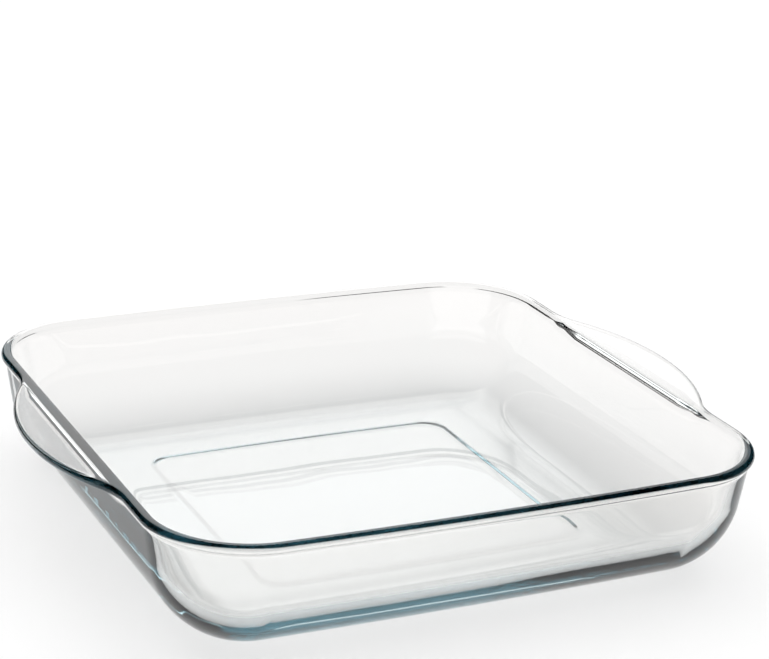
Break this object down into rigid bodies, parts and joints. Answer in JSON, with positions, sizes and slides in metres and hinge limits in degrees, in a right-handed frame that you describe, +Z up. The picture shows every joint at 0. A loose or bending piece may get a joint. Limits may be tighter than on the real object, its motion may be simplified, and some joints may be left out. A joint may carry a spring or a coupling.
{
  "type": "lasagna dish",
  "caption": "Square clear glass baking dish with leaning walls, generously rounded corners, a beaded rim and a flat wing handle on the left and right.",
  "frame": {"origin": "middle of the dish, on the surface that it rests on", "axes": "+X to the right along the front side and through both handles, +Y to the back, +Z up"},
  "size_m": [0.339, 0.3, 0.062],
  "materials": {
    "clear_glass": "clear pressed glass with a fire-polished surface and a faint blue-green tint at the edges"
  },
  "bodies": {
    "root": {"glass_dish": "clear_glass"}
  },
  "joints": []
}
